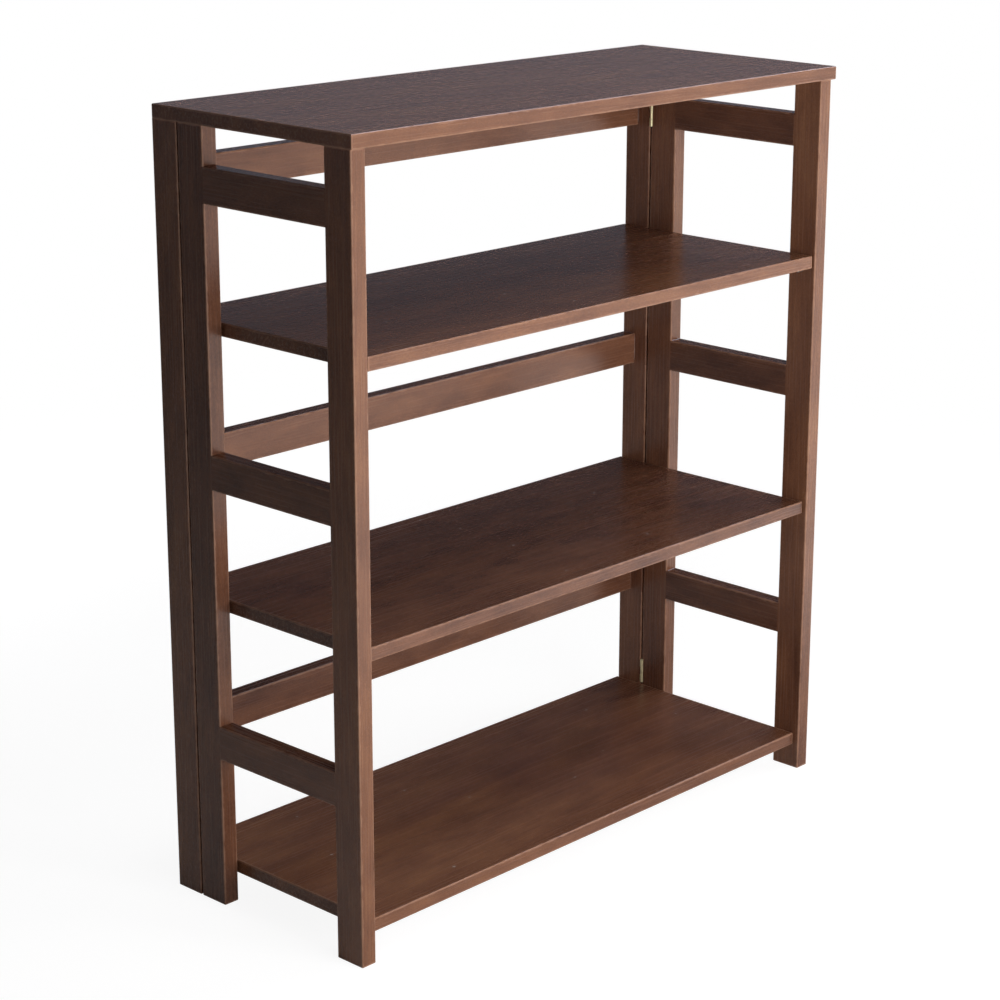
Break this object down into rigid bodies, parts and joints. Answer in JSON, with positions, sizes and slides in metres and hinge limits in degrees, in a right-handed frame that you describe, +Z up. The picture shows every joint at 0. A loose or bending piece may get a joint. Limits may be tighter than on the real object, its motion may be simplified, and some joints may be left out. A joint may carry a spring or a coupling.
{
  "type": "folding bookcase",
  "caption": "Open folding bookcase in dark stained wood: ladder sides hinged to a slatted back frame, fold-up shelves and a fold-back top board.",
  "frame": {"origin": "on the floor, at the middle of the overall width and depth, the hinges behind the top counted in the depth", "axes": "+Z up, front faces -Y, +X to the right when facing the back from the front"},
  "size_m": [0.7596, 0.3072, 0.864],
  "materials": {
    "wood_upright": "satin dark brown stain, grain upright",
    "wood_cross": "satin dark brown stain, grain across the width",
    "wood_side_rail": "satin dark brown stain, grain front to back",
    "wood_shelf": "semi-gloss dark brown stain, grain across the width",
    "wood_top": "semi-gloss dark brown stain, grain across the width",
    "dowel": "plain unstained wood",
    "pin_steel": "bright plated steel",
    "hinge_brass": "bright brass plate",
    "screw_brass": "bright brass plate"
  },
  "bodies": {
    "back_frame": {"left_back_stile": "wood_upright", "right_back_stile": "wood_upright", "back_upper_rail": "wood_cross", "back_middle_rail": "wood_cross", "back_lower_rail": "wood_cross", "back_frame_dowels": "dowel", "shelf_pivot_pins": "pin_steel", "left_hinge_frame_leaves": "hinge_brass", "right_hinge_frame_leaves": "hinge_brass", "left_hinge_frame_screws": "screw_brass", "right_hinge_frame_screws": "screw_brass", "left_hinge_pins": "hinge_brass", "right_hinge_pins": "hinge_brass", "top_hinge_frame_leaves": "hinge_brass", "top_hinge_frame_screws": "screw_brass", "top_hinge_pins": "hinge_brass"},
    "left_side_frame": {"left_front_stile": "wood_upright", "left_rear_stile": "wood_upright", "left_side_upper_rail": "wood_side_rail", "left_side_middle_rail": "wood_side_rail", "left_side_lower_rail": "wood_side_rail", "left_side_frame_dowels": "dowel", "left_shelf_rest_pins": "pin_steel", "left_hinge_side_leaves": "hinge_brass", "left_hinge_side_screws": "screw_brass"},
    "right_side_frame": {"right_front_stile": "wood_upright", "right_rear_stile": "wood_upright", "right_side_upper_rail": "wood_side_rail", "right_side_middle_rail": "wood_side_rail", "right_side_lower_rail": "wood_side_rail", "right_side_frame_dowels": "dowel", "right_shelf_rest_pins": "pin_steel", "right_hinge_side_leaves": "hinge_brass", "right_hinge_side_screws": "screw_brass"},
    "upper_shelf": {"upper_shelf": "wood_shelf"},
    "middle_shelf": {"middle_shelf": "wood_shelf"},
    "lower_shelf": {"lower_shelf": "wood_shelf"},
    "top": {"top_board": "wood_top", "top_hinge_board_leaves": "hinge_brass", "top_hinge_board_screws": "screw_brass"}
  },
  "joints": [
    {"name": "top_fold", "type": "hinge", "parent": "back_frame", "child": "top", "pos_m": [0, 0.1517, 0.86], "axis": [-1, 0, 0], "range_deg": [0, 270]},
    {"name": "upper_shelf_fold", "type": "hinge", "parent": "back_frame", "child": "upper_shelf", "pos_m": [0, 0.1179, 0.637], "axis": [-1, 0, 0], "range_deg": [0, 50]},
    {"name": "middle_shelf_fold", "type": "hinge", "parent": "back_frame", "child": "middle_shelf", "pos_m": [0, 0.1179, 0.337], "axis": [-1, 0, 0], "range_deg": [0, 90]},
    {"name": "lower_shelf_fold", "type": "hinge", "parent": "back_frame", "child": "lower_shelf", "pos_m": [0, 0.1179, 0.0385], "axis": [-1, 0, 0], "range_deg": [0, 90]},
    {"name": "left_side_fold", "type": "hinge", "parent": "back_frame", "child": "left_side_frame", "pos_m": [-0.358, 0.106, 0], "axis": [0, 0, 1], "range_deg": [0, 0.45]},
    {"name": "right_side_fold", "type": "hinge", "parent": "back_frame", "child": "right_side_frame", "pos_m": [0.358, 0.106, 0], "axis": [0, 0, -1], "range_deg": [0, 0.45]}
  ]
}
